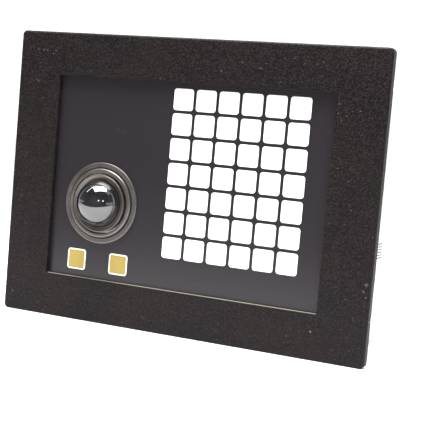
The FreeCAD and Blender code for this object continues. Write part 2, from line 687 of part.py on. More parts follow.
def main():
    nodes = {
        "bezel_frame": make_bezel_frame(),
        "overlay_film": make_overlay_film(),
        "front_plate": make_front_plate(),
        "key_board": make_key_board(),
        "trackball_flange": make_trackball_flange(),
        "retaining_ring": make_retaining_ring(),
        "ball_shell": make_ball_shell(),
        "ball_core": make_ball_core(),
        "encoder_roller_x": make_encoder_roller("x"),
        "encoder_roller_z": make_encoder_roller("z"),
        "trackball_cup": make_trackball_cup(),
        "trackball_board": make_trackball_board(),
        "rear_housing": make_rear_housing(),
        "interface_board": make_interface_board(),
        "mounting_studs": make_mounting_studs(),
        "machine_screws": make_machine_screws(),
    }
    for name, (x, z) in key_centres().items():
        nodes[name] = make_key(x, z)
    os.makedirs("parts", exist_ok=True)
    for name, shape in nodes.items():
        shape.exportStep("parts/%s.step" % name)
        print(name, len(shape.Solids), "solids", round(shape.Volume / 1000, 2), "cm3", shape.isValid())


main()
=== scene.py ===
import math

import bmesh
import bpy
from mathutils import Matrix, Vector, noise


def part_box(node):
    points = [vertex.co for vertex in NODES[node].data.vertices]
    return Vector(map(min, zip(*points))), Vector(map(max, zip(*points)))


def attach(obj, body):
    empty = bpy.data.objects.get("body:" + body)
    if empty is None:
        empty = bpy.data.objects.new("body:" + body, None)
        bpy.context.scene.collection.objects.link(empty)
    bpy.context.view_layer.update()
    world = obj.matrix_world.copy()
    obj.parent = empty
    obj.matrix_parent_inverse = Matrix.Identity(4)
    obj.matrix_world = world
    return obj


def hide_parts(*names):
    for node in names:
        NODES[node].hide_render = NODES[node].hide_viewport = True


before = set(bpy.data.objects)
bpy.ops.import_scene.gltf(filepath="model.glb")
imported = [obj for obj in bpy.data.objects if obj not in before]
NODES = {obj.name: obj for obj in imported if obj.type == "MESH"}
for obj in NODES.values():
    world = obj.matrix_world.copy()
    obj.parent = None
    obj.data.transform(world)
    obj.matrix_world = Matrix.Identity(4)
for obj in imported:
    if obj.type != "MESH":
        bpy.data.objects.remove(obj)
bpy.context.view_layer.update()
MM = 0.001

# Sizes and places, worked out from the frame
BEZEL_LOW, BEZEL_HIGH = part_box("bezel_frame")
FILM_LOW, FILM_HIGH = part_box("overlay_film")
PLATE_LOW, PLATE_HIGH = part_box("front_plate")
FLANGE_LOW, FLANGE_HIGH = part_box("trackball_flange")
RING_LOW, RING_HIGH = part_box("retaining_ring")
HOUSING_LOW, HOUSING_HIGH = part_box("rear_housing")
BALL_LOW, BALL_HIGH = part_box("ball_core")
BALL_CENTRE = (BALL_LOW + BALL_HIGH) / 2
BALL_R = 19.05 * MM
GAP_R = 23.55 * MM
GROOVE_R = 27.95 * MM
FACE_Y = FILM_LOW.y
OPENING_W = 232.2 * MM
OPENING_H = 160.1 * MM
OPENING_CORNER_R = 0.8 * MM
SILL_LINE_Y = -6.5 * MM
IO_SHELL_Y = 104.0 * MM
POCKET_W = 244.0 * MM
POCKET_H = 171.0 * MM
POCKET_CORNER_R = 3.0 * MM
BEZEL_CORNER_R = 3.6 * MM
BEZEL_FRONT_R = 1.8 * MM
BEZEL_INNER_R = 0.35 * MM
BEZEL_REAR_CHAMFER = 0.5 * MM
BEZEL_FACE_STEPS = 44
BEZEL_LONG_COUNT = 340
BEZEL_SHORT_COUNT = 250
LUG_ZS = (-62.0, 0.0, 62.0)
LUG_HALF_H = 8 * MM
LUG_T = 6 * MM
LUG_INSET = 1.6 * MM
STUD_XS = (148.5, 50.0)
STUD_Z = 105.0
STUD_START = 0.6 * MM
STUD_R = 2.0 * MM
STUD_THREAD_PITCH = 0.7 * MM


# Node helpers

def make_material(name, color, roughness, **sockets):
    """New material with a Principled shader whose constants sit on its own sockets."""
    material = bpy.data.materials.new(name)
    material.use_nodes = True
    tree = material.node_tree
    shader = tree.nodes["Principled BSDF"]
    shader.inputs["Base Color"].default_value = (*color, 1.0)
    shader.inputs["Roughness"].default_value = roughness
    for socket, value in sockets.items():
        shader.inputs[socket.replace("_", " ")].default_value = value
    return material, tree, shader


def put(tree, socket, value):
    """Link a node's output into a socket, or set the socket's constant."""
    if isinstance(value, bpy.types.NodeSocket):
        tree.links.new(value, socket)
    elif isinstance(value, (tuple, list)) and len(value) == 3 and socket.type == "RGBA":
        socket.default_value = (*value, 1.0)
    else:
        socket.default_value = value


def position(tree):
    """Position on the object in metres, in the row frame at rest."""
    return tree.nodes.new("ShaderNodeTexCoord").outputs["Object"]


def axis_of(tree, vector, axis):
    """One component of a vector."""
    split = tree.nodes.new("ShaderNodeSeparateXYZ")
    put(tree, split.inputs[0], vector)
    return split.outputs["XYZ".index(axis)]


def calc(tree, operation, a, b=0.0):
    """Math node."""
    node = tree.nodes.new("ShaderNodeMath")
    node.operation = operation
    for socket, value in zip(node.inputs, (a, b)):
        put(tree, socket, value)
    return node.outputs[0]


def moved(tree, vector, scale):
    """Vector times a scale."""
    node = tree.nodes.new("ShaderNodeMapping")
    put(tree, node.inputs["Vector"], vector)
    node.inputs["Scale"].default_value = scale
    return node.outputs[0]


def noise_of(tree, vector, scale, detail=3.0, rough=0.55):
    """Noise between 0 and 1 with scale in features per metre."""
    node = tree.nodes.new("ShaderNodeTexNoise")
    put(tree, node.inputs["Vector"], vector)
    node.inputs["Scale"].default_value = scale
    node.inputs["Detail"].default_value = detail
    node.inputs["Roughness"].default_value = rough
    return node.outputs[0]


def cells_of(tree, vector, scale, randomness=1.0):
    """Distance to the nearest cell point, with scale in cells per metre."""
    node = tree.nodes.new("ShaderNodeTexVoronoi")
    put(tree, node.inputs["Vector"], vector)
    node.inputs["Scale"].default_value = scale
    node.inputs["Randomness"].default_value = randomness
    return node.outputs["Distance"]


def ramp(tree, value, low, high, out_low=0.0, out_high=1.0):
    """Clamped smooth remap of a value."""
    node = tree.nodes.new("ShaderNodeMapRange")
    node.interpolation_type = "SMOOTHSTEP"
    for name, item in (("Value", value), ("From Min", low), ("From Max", high), ("To Min", out_low),
                       ("To Max", out_high)):
        put(tree, node.inputs[name], item)
    return node.outputs[0]


def mix(tree, factor, a, b):
    """Colour mix."""
    node = tree.nodes.new("ShaderNodeMix")
    node.data_type = "RGBA"
    put(tree, node.inputs[0], factor)
    put(tree, node.inputs[6], a)
    put(tree, node.inputs[7], b)
    return node.outputs[2]


def bump(tree, shader, height, depth, strength=1.0):
    """Bump from a height between 0 and 1 that stands for depth metres."""
    node = tree.nodes.new("ShaderNodeBump")
    node.inputs["Strength"].default_value = strength
    node.inputs["Distance"].default_value = depth
    put(tree, node.inputs["Height"], height)
    put(tree, shader.inputs["Normal"], node.outputs[0])


def blob(tree, vector, centre, radius, ragged):
    """Mask of a ragged spot round a point."""
    offset = tree.nodes.new("ShaderNodeVectorMath")
    offset.operation = "DISTANCE"
    put(tree, offset.inputs[0], vector)
    offset.inputs[1].default_value = centre
    edge = calc(tree, "ADD", offset.outputs["Value"], calc(tree, "MULTIPLY", ragged, radius * 2.4))
    return ramp(tree, edge, radius * 1.4, radius * 2.1, 1.0, 0.0)


# Materials

# Worn spots on the bezel's coat: x, z and radius in millimetres, and how strongly each one shows
CHIPS = (
    (151.4, -53.5, 2.0, 0.3), (149.6, -58.5, 1.5, 0.25), (151.9, -62.5, 1.2, 0.2), (152.6, -19.5, 0.7, 0.3),
    (113.0, -93.0, 1.1, 0.85), (95.0, -99.0, 0.6, 0.6), (-131.0, 61.0, 0.5, 0.5), (-24.0, -104.0, 0.6, 0.5),
    (136.0, -88.0, 0.5, 0.5), (129.0, -58.0, 0.5, 0.4), (-140.0, -42.0, 0.5, 0.5), (60.0, 98.0, 0.5, 0.5),
)


def bezel_material():
    """Near-black coarse textured powder coat with a brown tint, dust in the grain, a few chips and a painted
    highlight along the opening's lower wall.
    """
    material, tree, shader = make_material("bezel_coat", (0.009, 0.008, 0.008), 0.5,
                                           Specular_IOR_Level=0.13)
    at = position(tree)
    wide = noise_of(tree, at, 18, 3)
    fine = noise_of(tree, at, 900, 2)
    tint = mix(tree, ramp(tree, wide, 0.35, 0.7), (0.0044, 0.0032, 0.0034), (0.0070, 0.0048, 0.0045))
    grain_tone = mix(tree, ramp(tree, fine, 0.42, 0.72, 0.0, 0.65), tint, (0.028, 0.022, 0.023))
    dust_field = noise_of(tree, at, 420, 1)
    dust_zone = ramp(tree, noise_of(tree, at, 26, 2), 0.45, 0.7)
    dust = calc(tree, "MULTIPLY", ramp(tree, dust_field, 0.70, 0.78), dust_zone)
    colour = mix(tree, calc(tree, "MULTIPLY", dust, 0.4), grain_tone, (0.16, 0.15, 0.14))
    ragged = noise_of(tree, at, 900, 4, 0.7)
    chips = None
    for x, z, radius, share in CHIPS:
        spot = blob(tree, at, (x * MM, BEZEL_LOW.y, z * MM), radius * MM, ragged)
        spot = calc(tree, "MULTIPLY", spot, ramp(tree, fine, 0.38, 0.55, share * 0.25, share))
        chips = spot if chips is None else calc(tree, "MAXIMUM", chips, spot)
    colour = mix(tree, chips, colour, (0.30, 0.27, 0.24))
    # Painted highlight: a pale cream line along the opening's lower wall, standing in for light from above
    # falling on it.
    colour = mix(tree, sill_highlight_mask(tree, at), colour, (0.26, 0.24, 0.19))
    put(tree, shader.inputs["Base Color"], colour)
    put(tree, shader.inputs["Roughness"], ramp(tree, fine, 0.2, 0.8, 0.4, 0.62))
    cells = ramp(tree, cells_of(tree, at, 620), 0.0, 0.75)
    height = calc(tree, "ADD", calc(tree, "MULTIPLY", cells, 0.6), calc(tree, "MULTIPLY", fine, 0.4))
    bump(tree, shader, height, 0.3 * MM, 1.0)
    return material


def sill_highlight_mask(tree, at):
    """Mask of a painted highlight: the pale line along the opening's lower wall, beside the film, where light
    from above falls.
    """
    level = calc(tree, "ABSOLUTE", calc(tree, "ADD", axis_of(tree, at, "Z"), OPENING_H / 2))
    near = ramp(tree, level, 0.15 * MM, 0.25 * MM, 1.0, 0.0)
    beside_film = ramp(tree, axis_of(tree, at, "Y"), SILL_LINE_Y, SILL_LINE_Y + 0.3 * MM)
    return calc(tree, "MULTIPLY", near, beside_film)


def film_material():
    """Smooth satin printed film, dark blue-grey, with a fine surface texture and a little dust."""
    material, tree, shader = make_material("face_film", (0.019, 0.0165, 0.020), 0.3,
                                           Specular_IOR_Level=0.36)
    at = position(tree)
    wide = noise_of(tree, at, 14, 2)
    speck = ramp(tree, noise_of(tree, at, 700, 1), 0.76, 0.82)
    colour = mix(tree, ramp(tree, wide, 0.3, 0.7), (0.0154, 0.0132, 0.0160), (0.0162, 0.0139, 0.0168))
    colour = mix(tree, calc(tree, "MULTIPLY", speck, 0.35), colour, (0.2, 0.19, 0.19))
    put(tree, shader.inputs["Base Color"], colour)
    put(tree, shader.inputs["Roughness"], ramp(tree, noise_of(tree, at, 30, 2), 0.3, 0.7, 0.28, 0.29))
    bump(tree, shader, noise_of(tree, at, 2600, 2), 0.02 * MM, 0.5)
    return material


def ring_material(name, grooves_per_metre, tone):
    """Dark bronze anodised ring with fine turned lines round the ball's axis, and painted shade darkening its
    gap and its deep groove.
    """
    material, tree, shader = make_material(name, tone, 0.4, Metallic=0.85)
    at = position(tree)
    x = calc(tree, "SUBTRACT", axis_of(tree, at, "X"), BALL_CENTRE.x)
    z = calc(tree, "SUBTRACT", axis_of(tree, at, "Z"), BALL_CENTRE.z)
    radius = calc(tree, "SQRT", calc(tree, "ADD", calc(tree, "MULTIPLY", x, x), calc(tree, "MULTIPLY", z, z)))
    line = calc(tree, "SINE", calc(tree, "MULTIPLY", radius, grooves_per_metre * 2 * math.pi))
    wide = noise_of(tree, at, 90, 3)
    light = tuple(c * 1.2 for c in tone)
    colour = mix(tree, ramp(tree, wide, 0.3, 0.7), tone, light)
    speck = ramp(tree, noise_of(tree, at, 1100, 1), 0.7, 0.8, 0.0, 0.5)
    colour = mix(tree, speck, colour, (0.34, 0.31, 0.28))
    # Painted shade: near-black colour in the gap round the retaining ring and in the flange's deep groove,
    # where shadow falls.
    near_gap = ramp(tree, calc(tree, "ABSOLUTE", calc(tree, "SUBTRACT", radius, GAP_R)), 0.55 * MM, 0.75 * MM,
                    1.0, 0.0)
    near_groove = ramp(tree, calc(tree, "ABSOLUTE", calc(tree, "SUBTRACT", radius, GROOVE_R)), 0.35 * MM,
                       0.5 * MM, 0.9, 0.0)
    painted_shade_and_grime = calc(tree, "MAXIMUM", near_gap, near_groove)
    put(tree, shader.inputs["Base Color"], mix(tree, painted_shade_and_grime, colour, (0.006, 0.0055, 0.005)))
    put(tree, shader.inputs["Roughness"], ramp(tree, wide, 0.2, 0.8, 0.33, 0.45))
    bump(tree, shader, ramp(tree, line, -1.0, 1.0), 0.012 * MM, 0.6)
    return material


def ball_material():
    """Polished black ball that mirrors its surroundings, with hairline scuffs."""
    material, tree, shader = make_material("ball_resin", (0.006, 0.006, 0.007), 0.035, IOR=2.05)
    at = position(tree)
    scuff = ramp(tree, noise_of(tree, moved(tree, at, scale=(1.0, 0.25, 1.0)), 900, 4), 0.62, 0.72)
    wide = noise_of(tree, at, 120, 3)
    colour = mix(tree, ramp(tree, wide, 0.3, 0.7), (0.005, 0.005, 0.006), (0.009, 0.008, 0.009))
    put(tree, shader.inputs["Base Color"], colour)
    put(tree, shader.inputs["Roughness"], calc(tree, "ADD", calc(tree, "MULTIPLY", scuff, 0.05), 0.03))
    return material


def square_distance(tree, at, centre, corner_r, half):
    """Distance outside a rounded square round a key's centre, negative inside it."""
    dx = calc(tree, "ABSOLUTE", calc(tree, "SUBTRACT", axis_of(tree, at, "X"), centre.x))
    dz = calc(tree, "ABSOLUTE", calc(tree, "SUBTRACT", axis_of(tree, at, "Z"), centre.z))
    ox = calc(tree, "MAXIMUM", calc(tree, "SUBTRACT", dx, half - corner_r), 0.0)
    oz = calc(tree, "MAXIMUM", calc(tree, "SUBTRACT", dz, half - corner_r), 0.0)
    squares = calc(tree, "ADD", calc(tree, "MULTIPLY", ox, ox), calc(tree, "MULTIPLY", oz, oz))
    return calc(tree, "SUBTRACT", calc(tree, "SQRT", squares), corner_r)


def white_key_material():
    """Satin white film with a faint texture and slight ageing."""
    material, tree, shader = make_material("key_white", (0.86, 0.86, 0.85), 0.38,
                                           Specular_IOR_Level=0.45)
    at = position(tree)
    wide = noise_of(tree, at, 45, 3)
    colour = mix(tree, ramp(tree, wide, 0.3, 0.7), (0.88, 0.885, 0.885), (0.83, 0.83, 0.82))
    put(tree, shader.inputs["Base Color"], colour)
    put(tree, shader.inputs["Roughness"], ramp(tree, noise_of(tree, at, 300, 3), 0.3, 0.7, 0.33, 0.45))
    bump(tree, shader, noise_of(tree, at, 2600, 2), 0.02 * MM, 0.5)
    return material


def amber_key_material(node):
    """Amber square printed inside a white border, with a darker line where the two prints meet."""
    material, tree, shader = make_material(node + "_print", (0.6, 0.45, 0.12), 0.38,
                                           Specular_IOR_Level=0.45)
    low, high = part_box(node)
    centre = (low + high) / 2
    at = position(tree)
    reach = square_distance(tree, at, centre, 1.3 * MM, 7.15 * MM)
    outline = ramp(tree, calc(tree, "ABSOLUTE", calc(tree, "ADD", reach, 0.75 * MM)), 0.05 * MM, 0.4 * MM,
                   0.55, 0.0)
    wide = noise_of(tree, at, 70, 3)
    amber = mix(tree, ramp(tree, wide, 0.3, 0.7), (0.322, 0.238, 0.047), (0.300, 0.221, 0.044))
    amber = mix(tree, outline, amber, (0.260, 0.180, 0.036))
    colour = mix(tree, ramp(tree, reach, -0.1 * MM, 0.1 * MM), amber, (0.84, 0.81, 0.68))
    put(tree, shader.inputs["Base Color"], colour)
    put(tree, shader.inputs["Roughness"], ramp(tree, noise_of(tree, at, 300, 3), 0.3, 0.7, 0.33, 0.45))
    bump(tree, shader, noise_of(tree, at, 2600, 2), 0.02 * MM, 0.5)
    return material


def paint_material():
    """Smooth pale grey paint on sheet steel: light orange peel, a few scuffs, patches of grime."""
    material, tree, shader = make_material("housing_paint", (0.66, 0.68, 0.69), 0.4,
                                           Specular_IOR_Level=0.5)
    at = position(tree)
    wide = noise_of(tree, at, 9, 4)
    scratch_field = noise_of(tree, moved(tree, at, scale=(1.0, 0.12, 1.3)), 260, 5, 0.6)
    scratch = ramp(tree, scratch_field, 0.66, 0.69)
    colour = mix(tree, ramp(tree, wide, 0.3, 0.7), (0.530, 0.538, 0.535), (0.475, 0.483, 0.480))
    painted_shade_and_grime = calc(tree, "MULTIPLY", ramp(tree, noise_of(tree, at, 55, 5, 0.65), 0.52, 0.78), 0.35)
    colour = mix(tree, painted_shade_and_grime, colour, (0.42, 0.41, 0.39))
    colour = mix(tree, calc(tree, "MULTIPLY", scratch, 0.6), colour, (0.36, 0.36, 0.37))
    put(tree, shader.inputs["Base Color"], colour)
    put(tree, shader.inputs["Roughness"], ramp(tree, noise_of(tree, at, 90, 4), 0.3, 0.7, 0.3, 0.5))
    bump(tree, shader, noise_of(tree, at, 420, 2, 0.5), 0.035 * MM, 0.5)
    return material


def metal_material(name, tone, roughness, stretch, grain=700.0):
    """Metal with a fine directional grain and slight stains."""
    material, tree, shader = make_material(name, tone, roughness, Metallic=1.0)
    at = position(tree)
    lines = noise_of(tree, moved(tree, at, scale=stretch), grain, 3)
    stain = noise_of(tree, at, 40, 4)
    dark = tuple(c * 0.72 for c in tone)
    colour = mix(tree, ramp(tree, stain, 0.35, 0.75), tone, dark)
    put(tree, shader.inputs["Base Color"], colour)
    put(tree, shader.inputs["Roughness"], ramp(tree, lines, 0.3, 0.7, roughness * 0.75, roughness * 1.3))
    bump(tree, shader, lines, 0.015 * MM, 0.5)
    return material


def plastic_material(name, tone, roughness, grain=1500.0, depth=0.02):
    """Moulded plastic with a fine spark-eroded texture."""
    material, tree, shader = make_material(name, tone, roughness, Specular_IOR_Level=0.5)
    at = position(tree)
    wide = noise_of(tree, at, 60, 3)
    light = tuple(min(1.0, c * 1.3) for c in tone)
    put(tree, shader.inputs["Base Color"], mix(tree, ramp(tree, wide, 0.3, 0.7), tone, light))
    put(tree, shader.inputs["Roughness"], ramp(tree, wide, 0.3, 0.7, roughness * 0.85, roughness * 1.15))
    bump(tree, shader, noise_of(tree, at, grain, 2), depth * MM, 0.6)
    return material


def board_material(name, shell_y):
    """Green solder resist with tracks and tinned pads; past shell_y it is the connectors' plated shells."""
    material, tree, shader = make_material(name, (0.02, 0.12, 0.05), 0.35, Specular_IOR_Level=0.5)
    at = position(tree)
    steps = tree.nodes.new("ShaderNodeTexBrick")
    put(tree, steps.inputs["Vector"], moved(tree, at, scale=(1.0, 0.0, 1.0)))
    steps.inputs["Scale"].default_value = 160.0
    steps.inputs["Mortar Size"].default_value = 0.06
    tracks = calc(tree, "MULTIPLY", steps.outputs["Fac"], ramp(tree, noise_of(tree, at, 60, 2), 0.45, 0.5))
    pads = ramp(tree, cells_of(tree, at, 394, randomness=0.0), 0.16, 0.2, 1.0, 0.0)
    pads = calc(tree, "MULTIPLY", pads, ramp(tree, noise_of(tree, at, 90, 1), 0.58, 0.62))
    colour = mix(tree, tracks, (0.018, 0.11, 0.045), (0.04, 0.2, 0.08))
    colour = mix(tree, pads, colour, (0.6, 0.6, 0.58))
    shell = ramp(tree, axis_of(tree, at, "Y"), shell_y, shell_y + 0.1 * MM)
    stain = ramp(tree, noise_of(tree, at, 160, 3), 0.3, 0.7)
    plating = mix(tree, stain, (0.42, 0.42, 0.40), (0.34, 0.34, 0.33))
    put(tree, shader.inputs["Base Color"], mix(tree, shell, colour, plating))
    put(tree, shader.inputs["Metallic"], calc(tree, "MULTIPLY", shell, 0.9))
    bump(tree, shader, calc(tree, "MAXIMUM", tracks, pads), 0.03 * MM, 0.6)
    return material


# Mesh helpers

def finish_piece(name, bm, material, body, nodes=(), sharp_deg=35.0):
    """Turn a bmesh into a shaded piece that rides a body and stands for CAD nodes."""
    bmesh.ops.recalc_face_normals(bm, faces=bm.faces)
    mesh = bpy.data.meshes.new(name)
    bm.to_mesh(mesh)
    bm.free()
    mesh.polygons.foreach_set("use_smooth", [True] * len(mesh.polygons))
    mesh.set_sharp_from_angle(angle=math.radians(sharp_deg))
    mesh.materials.append(material)
    piece = bpy.data.objects.new(name, mesh)
    bpy.context.scene.collection.objects.link(piece)
    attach(piece, body)
    if nodes:
        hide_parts(*nodes)
    return piece


def rounded_loop(width, tall, corner_r, long_count, short_count, corner_count=6):
    """Points (x, z) round a rounded rectangle, with the same count for every size."""
    half_w = width / 2 - corner_r
    half_h = tall / 2 - corner_r
    corners = ((half_w, half_h, 0), (-half_w, half_h, 90), (-half_w, -half_h, 180), (half_w, -half_h, 270))
    counts = (long_count, short_count, long_count, short_count)
    points = []
    for i, (cx, cz, start) in enumerate(corners):
        for k in range(corner_count + 1):
            angle = math.radians(start + 90 * k / corner_count)
            points.append((cx + corner_r * math.cos(angle), cz + corner_r * math.sin(angle)))
        ax, az = points[-1]
        nx, nz, turn = corners[(i + 1) % 4]
        angle = math.radians(turn)
        bx = nx + corner_r * math.cos(angle)
        bz = nz + corner_r * math.sin(angle)
        for k in range(1, counts[i]):
            share = k / counts[i]
            points.append((ax + (bx - ax) * share, az + (bz - az) * share))
    return points


def loops_to_bmesh(loops, closed):
    """Join rings of points with quads; closed also joins the last ring to the first."""
    bm = bmesh.new()
    rings = [[bm.verts.new(p) for p in loop] for loop in loops]
    pairs = list(zip(rings, rings[1:]))
    if closed:
        pairs.append((rings[-1], rings[0]))
    for a, b in pairs:
        count = len(a)
        for i in range(count):
            bm.faces.new((a[i], a[(i + 1) % count], b[(i + 1) % count], b[i]))
    return bm


def lathe(profile, centre, segments=192):
    """Closed outline of (radius, y) turned round an axis along Y."""
    loops = []
    for radius, y in profile:
        loop = []
        for i in range(segments):
            angle = 2 * math.pi * i / segments
            loop.append((centre.x + radius * math.cos(angle), y, centre.z + radius * math.sin(angle)))
        loops.append(loop)
    return loops_to_bmesh(loops, True)


def arc(cx, cy, radius, start_deg, end_deg, steps):
    """Points of an arc, for profiles."""
    points = []
    for i in range(steps + 1):
        angle = math.radians(start_deg + (end_deg - start_deg) * i / steps)
        points.append((cx + radius * math.cos(angle), cy + radius * math.sin(angle)))
    return points


def add_box(bm, low, high):
    """Box with its corners at low and high."""
    size = Vector(high) - Vector(low)
    place = Matrix.Translation((Vector(low) + Vector(high)) / 2) @ Matrix.Diagonal((*size, 1.0))
    bmesh.ops.create_cube(bm, size=1.0, matrix=place)


# Pieces

def grain(point):
    """Height of the bezel's coat over its mean, in metres."""
    coarse = noise.noise(point * 520.0)
    wrinkle = 1.0 - abs(noise.noise(point * 760.0 + Vector((7.0, 3.0, 1.0)))) * 2.0
    return (coarse * 0.09 + wrinkle * 0.06) * MM


def make_bezel(material):
    """Bezel swept round its opening: coat grain is real relief on every face that is painted."""
    front_y = BEZEL_LOW.y
    width = BEZEL_HIGH.x - BEZEL_LOW.x
    tall = BEZEL_HIGH.z - BEZEL_LOW.z
    sections = []

    def section(w, h, corner, y, grained):
        sections.append((w, h, corner, y, grained))

    section(POCKET_W, POCKET_H, POCKET_CORNER_R, 0.0, False)
    section(width - 2 * BEZEL_REAR_CHAMFER, tall - 2 * BEZEL_REAR_CHAMFER,
            BEZEL_CORNER_R - BEZEL_REAR_CHAMFER, 0.0, False)
    section(width, tall, BEZEL_CORNER_R, -BEZEL_REAR_CHAMFER, True)
    for i in range(1, 8):
        y = -BEZEL_REAR_CHAMFER + (front_y + BEZEL_FRONT_R + BEZEL_REAR_CHAMFER) * i / 7
        section(width, tall, BEZEL_CORNER_R, y, True)
    for i in range(1, 7):
        angle = math.radians(90 * i / 6)
        inset = BEZEL_FRONT_R * (1 - math.cos(angle))
        y = front_y + BEZEL_FRONT_R * (1 - math.sin(angle))
        section(width - 2 * inset, tall - 2 * inset, BEZEL_CORNER_R - inset, y, True)
    outer_w = width - 2 * BEZEL_FRONT_R
    outer_h = tall - 2 * BEZEL_FRONT_R
    inner_w = OPENING_W + 2 * BEZEL_INNER_R
    inner_h = OPENING_H + 2 * BEZEL_INNER_R
    for i in range(1, BEZEL_FACE_STEPS + 1):
        share = i / BEZEL_FACE_STEPS
        corner = BEZEL_CORNER_R - BEZEL_FRONT_R + (OPENING_CORNER_R - BEZEL_CORNER_R + BEZEL_FRONT_R) * share
        section(outer_w + (inner_w - outer_w) * share, outer_h + (inner_h - outer_h) * share, corner, front_y,
                i < BEZEL_FACE_STEPS)
    for i in range(1, 4):
        angle = math.radians(30 * i)
        inset = BEZEL_INNER_R * math.sin(angle)
        y = front_y + BEZEL_INNER_R * (1 - math.cos(angle))
        section(inner_w - 2 * inset, inner_h - 2 * inset, OPENING_CORNER_R, y, False)
    for i in range(1, 5):
        y = front_y + BEZEL_INNER_R + (FACE_Y - front_y - BEZEL_INNER_R) * i / 4
        section(OPENING_W, OPENING_H, OPENING_CORNER_R, y, False)
    section(POCKET_W, POCKET_H, POCKET_CORNER_R, FACE_Y, False)
    loops = []
    for w, h, corner, y, _ in sections:
        outline = rounded_loop(w, h, corner, BEZEL_LONG_COUNT, BEZEL_SHORT_COUNT)
        loops.append([Vector((x, y, z)) for x, z in outline])
    bm = loops_to_bmesh(loops, True)
    bm.normal_update()
    per_loop = len(loops[0])
    bm.verts.ensure_lookup_table()
    bmesh.ops.recalc_face_normals(bm, faces=bm.faces)
    bm.normal_update()
    shifts = []
    for s, (_, _, _, _, grained) in enumerate(sections):
        if grained:
            for i in range(per_loop):
                vert = bm.verts[s * per_loop + i]
                shifts.append((vert, vert.normal * grain(vert.co)))
    for vert, shift in shifts:
        vert.co += shift
    add_lugs(bm)
    return finish_piece("bezel", bm, material, "panel", ("bezel_frame",))


def add_lugs(bm):
    """Lugs on the bezel's back that the housing is screwed to."""
    outer_x = HOUSING_HIGH.x - LUG_INSET
    for side in (-1, 1):
        for z in LUG_ZS:
            xs = sorted((side * outer_x, side * (outer_x - LUG_T)))
            add_box(bm, (xs[0], 0.0, z * MM - LUG_HALF_H), (xs[1], BEZEL_HIGH.y, z * MM + LUG_HALF_H))


def make_flange(material):
    """Stepped front ring of the trackball: fine turned grooves, a deep groove and a round-edged collar."""
    foot = FACE_Y
    top = foot - 1.6 * MM
    rim = FLANGE_LOW.y
    outer_r = (FLANGE_HIGH.x - FLANGE_LOW.x) / 2
    bore_r = 24.2 * MM
    profile = [(bore_r, foot), (outer_r, foot)]
    edge = 0.6 * MM
    profile += arc(outer_r - edge, top + edge, edge, 0, -90, 5)
    for i in range(3):
        start = (30.7 - 0.8 * i) * MM
        profile += [(start + 0.32 * MM, top), (start + 0.24 * MM, top + 0.16 * MM)]
        profile += [(start + 0.08 * MM, top + 0.16 * MM), (start, top)]
    collar_r = 27.5 * MM
    profile += [(collar_r + 0.9 * MM, top), (collar_r + 0.8 * MM, top + 0.7 * MM)]
    profile += [(collar_r + 0.1 * MM, top + 0.7 * MM), (collar_r, top + 0.5 * MM)]
    round_r = 1.4 * MM
    profile += arc(collar_r - round_r, rim + round_r, round_r, 0, -90, 10)
    inner = 0.3 * MM
    profile += arc(bore_r + inner, rim + inner, inner, -90, -180, 4)
    bm = lathe(profile, BALL_CENTRE, 224)
    return finish_piece("trackball_ring", bm, material, "panel", ("trackball_flange",))


def make_retaining_ring(material):
    """Inner ring round the ball, dished towards its lip."""
    foot = RING_HIGH.y
    rim = RING_LOW.y
    outer_r = (RING_HIGH.x - RING_LOW.x) / 2
    edge = 0.5 * MM
    profile = [(20.0 * MM, foot), (outer_r, foot)]
    profile += arc(outer_r - edge, rim + edge, edge, 0, -90, 5)
    profile += [(22.1 * MM, rim + 0.02 * MM), (21.8 * MM, rim + 0.09 * MM), (21.4 * MM, rim + 0.22 * MM)]
    profile += [(19.3 * MM, rim + 0.99 * MM), (19.05 * MM, rim + 1.12 * MM), (18.98 * MM, rim + 1.25 * MM)]
    profile += [(18.98 * MM, rim + 1.4 * MM), (19.8 * MM, rim + 2.6 * MM), (20.0 * MM, rim + 3.2 * MM)]
    bm = lathe(profile, BALL_CENTRE, 192)
    return finish_piece("ball_ring", bm, material, "panel", ("retaining_ring",))


def make_ball(material):
    """Ball as a subdivided cube pushed out to a sphere, so that it has no poles."""
    bm = bmesh.new()
    bmesh.ops.create_cube(bm, size=2.0)
    bmesh.ops.subdivide_edges(bm, edges=bm.edges, cuts=47, use_grid_fill=True)
    for vert in bm.verts:
        angles = [math.tan(c * math.pi / 4) for c in vert.co]
        vert.co = BALL_CENTRE + Vector(angles).normalized() * BALL_R
    return finish_piece("ball", bm, material, "ball", ("ball_shell",), 80.0)


def add_thread(bm, x, z, y0, y1, radius, pitch):
    """Threaded rod along Y with a chamfered end, as one closed tube of stacked rings."""
    segments = 20
    depth = pitch * 0.42
    shape = ((0.0, 0.0), (0.25, 0.0), (0.5, 1.0), (0.75, 1.0))
    turns = int((y1 - y0) / pitch) - 1
    loops = [[radius, y0 - 4 * MM, False], [radius, y0, False]]
    for turn in range(turns):
        for share, cut in shape:
            loops.append([radius - depth * cut, y0 + (turn + share) * pitch, True])
    loops.append([radius - depth, y1 - 0.8 * MM, False])
    loops.append([radius - depth - 0.5 * MM, y1, False])
    rings = []
    for r, y, helical in loops:
        ring = []
        for i in range(segments):
            angle = 2 * math.pi * i / segments
            lead = pitch * i / segments if helical else 0.0
            ring.append(bm.verts.new((x + r * math.cos(angle), y + lead, z + r * math.sin(angle))))
        rings.append(ring)
    for a, b in zip(rings, rings[1:]):
        for i in range(segments):
            j = (i + 1) % segments
            bm.faces.new((a[i], a[j], b[j], b[i]))
    bm.faces.new(rings[0])
    bm.faces.new(list(reversed(rings[-1])))


